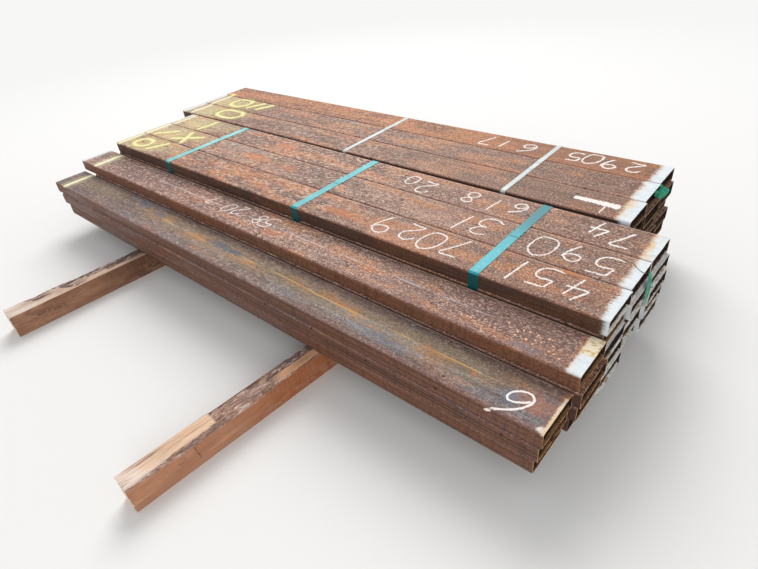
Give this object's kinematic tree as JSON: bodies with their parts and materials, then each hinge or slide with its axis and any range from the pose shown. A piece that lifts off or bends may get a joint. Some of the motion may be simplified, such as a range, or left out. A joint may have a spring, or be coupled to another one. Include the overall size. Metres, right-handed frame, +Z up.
{
  "type": "stack of rectangular steel tubing",
  "caption": "Stack of rusty rectangular steel tubes lying on two sawn timbers: two strapped bundles and two loose columns, with open ends and painted end marks.",
  "frame": {"origin": "middle of the whole stack's footprint, on the floor", "axes": "+X along the tubes towards their painted right ends, +Y from the low front column to the rear bundle, +Z up"},
  "size_m": [2.5954, 1.977, 0.3461],
  "materials": {
    "tube_steel": "brown rust over mill scale",
    "tube_steel_dark": "grey-brown mill scale with rust",
    "timber_wood": "rough sawn, weathered",
    "timber_wood_grey": "rough sawn, weathered grey on top",
    "strap_green": "green enamelled steel strapping",
    "strap_white": "pale zinc-painted steel strapping"
  },
  "bodies": {
    "root": {"middle_tube_c1_l1": "tube_steel", "middle_tube_c1_l2": "tube_steel", "middle_tube_c1_l3": "tube_steel", "middle_tube_c1_l4": "tube_steel", "middle_tube_c1_l5": "tube_steel", "middle_tube_c2_l1": "tube_steel", "middle_tube_c2_l2": "tube_steel", "middle_tube_c2_l3": "tube_steel", "middle_tube_c2_l4": "tube_steel", "middle_tube_c2_l5": "tube_steel", "middle_tube_c3_l1": "tube_steel", "middle_tube_c3_l2": "tube_steel", "middle_tube_c3_l3": "tube_steel", "middle_tube_c3_l4": "tube_steel", "middle_tube_c3_l5": "tube_steel", "rear_tube_c1_l1": "tube_steel", "rear_tube_c1_l2": "tube_steel", "rear_tube_c1_l3": "tube_steel", "rear_tube_c1_l4": "tube_steel", "rear_tube_c1_l5": "tube_steel", "rear_tube_c2_l1": "tube_steel", "rear_tube_c2_l2": "tube_steel", "rear_tube_c2_l3": "tube_steel", "rear_tube_c2_l4": "tube_steel", "rear_tube_c2_l5": "tube_steel", "rear_tube_c3_l1": "tube_steel", "rear_tube_c3_l2": "tube_steel", "rear_tube_c3_l3": "tube_steel", "rear_tube_c3_l4": "tube_steel", "rear_tube_c3_l5": "tube_steel", "step_tube_l1": "tube_steel", "step_tube_l2": "tube_steel", "step_tube_l3": "tube_steel", "step_tube_l4": "tube_steel", "front_tube_l1": "tube_steel_dark", "front_tube_l2": "tube_steel_dark", "front_tube_l3": "tube_steel_dark", "timber_right": "timber_wood", "timber_left": "timber_wood_grey", "strap_green_right": "strap_green", "strap_green_centre": "strap_green", "strap_green_left": "strap_green", "strap_white_right": "strap_white", "strap_white_left": "strap_white"}
  },
  "joints": []
}
